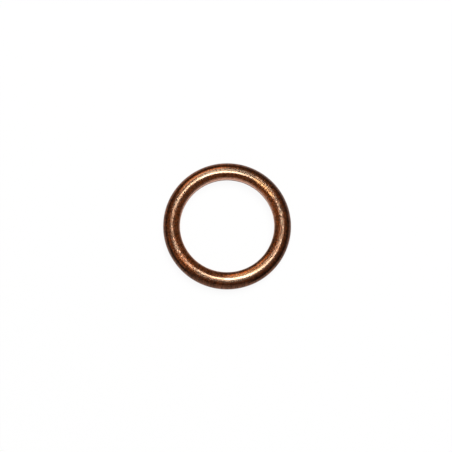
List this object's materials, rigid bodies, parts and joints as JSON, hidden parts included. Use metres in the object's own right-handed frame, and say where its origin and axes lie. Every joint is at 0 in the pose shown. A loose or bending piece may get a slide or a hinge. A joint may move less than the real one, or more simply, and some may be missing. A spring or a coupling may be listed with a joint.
{
  "type": "crush washer",
  "caption": "Folded copper crush washer: a hollow ring of thin sheet with a rounded crown, a flat seat and a lapped edge under the bore, which seals a plug or bolt when it is tightened.",
  "frame": {"origin": "centre of the bore on the plane that the flat seat rests on", "axes": "+Z along the bore axis, from the flat seat to the rounded crest; X and Y are free, because the ring is round"},
  "size_m": [0.0218, 0.0218, 0.002],
  "materials": {
    "copper": null
  },
  "bodies": {
    "root": {"washer": "copper"}
  },
  "joints": []
}
